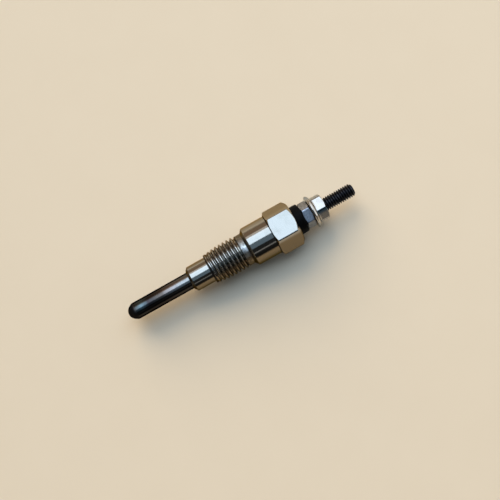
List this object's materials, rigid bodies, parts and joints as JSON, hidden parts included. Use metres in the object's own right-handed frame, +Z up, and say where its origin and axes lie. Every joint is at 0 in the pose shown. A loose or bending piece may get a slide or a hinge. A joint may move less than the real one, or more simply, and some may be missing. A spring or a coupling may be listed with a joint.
{
  "type": "diesel glow plug",
  "caption": "Sheathed diesel glow plug with a threaded steel body, a hexagon, a heat-tinted heater tube and a threaded terminal stud with its nuts.",
  "frame": {"origin": "middle of the plug's length, on the surface that a flat of its hexagon lies on", "axes": "+X along the plug's axis from the heater tip to the terminal stud, +Z up"},
  "size_m": [0.073, 0.0138, 0.012],
  "materials": {
    "plated_body": "bright plated turned steel",
    "heat_tinted_sheath": "satin alloy tube, blackened and heat tinted towards the tip",
    "resistance_wire": "oxidised resistance wire",
    "packed_powder": "compacted powder",
    "seal_rubber": "moulded rubber",
    "blackened_steel": "black oxide",
    "black_moulding": "matte moulding",
    "dull_plated_nut": "dull zinc plate",
    "bright_plated_nut": "bright zinc plate"
  },
  "bodies": {
    "root": {"body": "plated_body", "sheath": "heat_tinted_sheath", "heating_coil": "resistance_wire", "regulating_coil": "resistance_wire", "insulating_powder": "packed_powder", "sheath_seal": "seal_rubber", "centre_pole": "blackened_steel", "pole_seal": "seal_rubber", "insulating_bush": "black_moulding", "clamp_nut": "dull_plated_nut", "flange_nut": "bright_plated_nut"}
  },
  "joints": []
}
